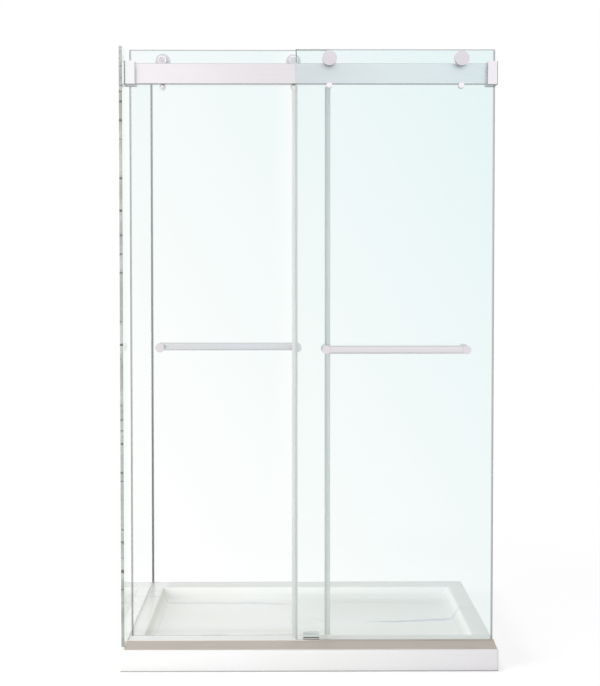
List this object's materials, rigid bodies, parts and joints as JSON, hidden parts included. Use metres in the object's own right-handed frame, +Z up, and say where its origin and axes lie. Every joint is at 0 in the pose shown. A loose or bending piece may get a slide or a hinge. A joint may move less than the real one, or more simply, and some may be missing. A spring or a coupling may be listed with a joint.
{
  "type": "sliding shower door",
  "caption": "Frameless bypass shower door: glass panels roll past each other on a top rail above a low tray, with a fixed glass side panel and bar handles.",
  "frame": {"origin": "middle of the tray's underside, on the floor", "axes": "+X to the right of someone facing the doors from outside, +Y into the shower, +Z up"},
  "size_m": [1.219, 0.914, 2.009],
  "materials": {
    "cast_white": "white cast resin with faint grey veins, satin gloss",
    "grey_plastic": "moulded",
    "white_plastic": "gloss",
    "sill_finish": "satin, warm grey",
    "glass": "clear toughened, faint green-blue, polished edges",
    "clear_vinyl": "translucent extruded vinyl",
    "satin_aluminium": "satin",
    "rail_steel": "fine lengthwise brushing",
    "bracket_steel": "satin",
    "fitting_steel": "turned satin",
    "handle_steel": "fine lengthwise brushing",
    "screw_steel": "plain",
    "bearing_steel": "ground",
    "wheel_nylon": "moulded, slightly translucent",
    "bush_plastic": "translucent",
    "bumper_rubber": "matt grey",
    "guide_plastic": "satin"
  },
  "bodies": {
    "enclosure": {"shower_tray": "cast_white", "drain_body": "grey_plastic", "drain_cover": "white_plastic", "threshold_sill": "sill_finish", "return_panel": "glass", "setting_strip": "clear_vinyl", "wall_channel": "satin_aluminium", "channel_seals": "clear_vinyl", "top_rail": "rail_steel", "left_bracket": "bracket_steel", "right_bracket": "bracket_steel", "rail_set_screws": "screw_steel", "bracket_bumpers": "bumper_rubber", "bracket_gaskets": "bumper_rubber", "clamp_plate": "bracket_steel", "clamp_bolts": "screw_steel", "clamp_nuts": "screw_steel", "floor_guide": "guide_plastic", "guide_screws": "screw_steel"},
    "outer_door": {"outer_glass": "glass", "outer_overlap_seal": "clear_vinyl", "outer_roller_bushes": "bush_plastic", "outer_roller_hubs": "screw_steel", "outer_roller_retainers": "screw_steel", "outer_roller_caps": "fitting_steel", "outer_anti_jump_bushes": "bush_plastic", "outer_anti_jump_pins": "fitting_steel", "outer_anti_jump_caps": "fitting_steel", "outer_handle_bushes": "bush_plastic", "outer_handle_posts": "handle_steel", "outer_handle_studs": "screw_steel", "outer_handle_caps": "handle_steel", "outer_handle_bar": "handle_steel"},
    "outer_left_roller": {"outer_left_wheel": "wheel_nylon", "outer_left_bearing": "bearing_steel"},
    "outer_right_roller": {"outer_right_wheel": "wheel_nylon", "outer_right_bearing": "bearing_steel"},
    "inner_door": {"inner_glass": "glass", "inner_overlap_seal": "clear_vinyl", "inner_roller_bushes": "bush_plastic", "inner_roller_hubs": "screw_steel", "inner_roller_retainers": "screw_steel", "inner_roller_caps": "fitting_steel", "inner_anti_jump_bushes": "bush_plastic", "inner_anti_jump_pins": "fitting_steel", "inner_anti_jump_caps": "fitting_steel", "inner_handle_bushes": "bush_plastic", "inner_handle_posts": "handle_steel", "inner_handle_studs": "screw_steel", "inner_handle_caps": "handle_steel", "inner_handle_bar": "handle_steel"},
    "inner_left_roller": {"inner_left_wheel": "wheel_nylon", "inner_left_bearing": "bearing_steel"},
    "inner_right_roller": {"inner_right_wheel": "wheel_nylon", "inner_right_bearing": "bearing_steel"}
  },
  "joints": [
    {"name": "outer_slide", "type": "slide", "parent": "enclosure", "child": "outer_door", "axis": [1, 0, 0], "range_m": [-0.538, 0]},
    {"name": "inner_slide", "type": "slide", "parent": "enclosure", "child": "inner_door", "axis": [1, 0, 0], "range_m": [0, 0.538]},
    {"name": "outer_left_spin", "type": "hinge", "parent": "outer_door", "child": "outer_left_roller", "pos_m": [0.0655, -0.353, 1.973], "axis": [0, 1, 0], "continuous": true},
    {"name": "outer_right_spin", "type": "hinge", "parent": "outer_door", "child": "outer_right_roller", "pos_m": [0.4925, -0.353, 1.973], "axis": [0, 1, 0], "continuous": true},
    {"name": "inner_left_spin", "type": "hinge", "parent": "inner_door", "child": "inner_left_roller", "pos_m": [-0.4775, -0.339, 1.973], "axis": [0, 1, 0], "continuous": true},
    {"name": "inner_right_spin", "type": "hinge", "parent": "inner_door", "child": "inner_right_roller", "pos_m": [-0.0505, -0.339, 1.973], "axis": [0, 1, 0], "continuous": true}
  ],
  "couplings": [
    {"joint": "outer_left_spin", "follows": "outer_slide", "rad_per_m": 81.967},
    {"joint": "outer_right_spin", "follows": "outer_slide", "rad_per_m": 81.967},
    {"joint": "inner_left_spin", "follows": "inner_slide", "rad_per_m": 81.967},
    {"joint": "inner_right_spin", "follows": "inner_slide", "rad_per_m": 81.967}
  ]
}
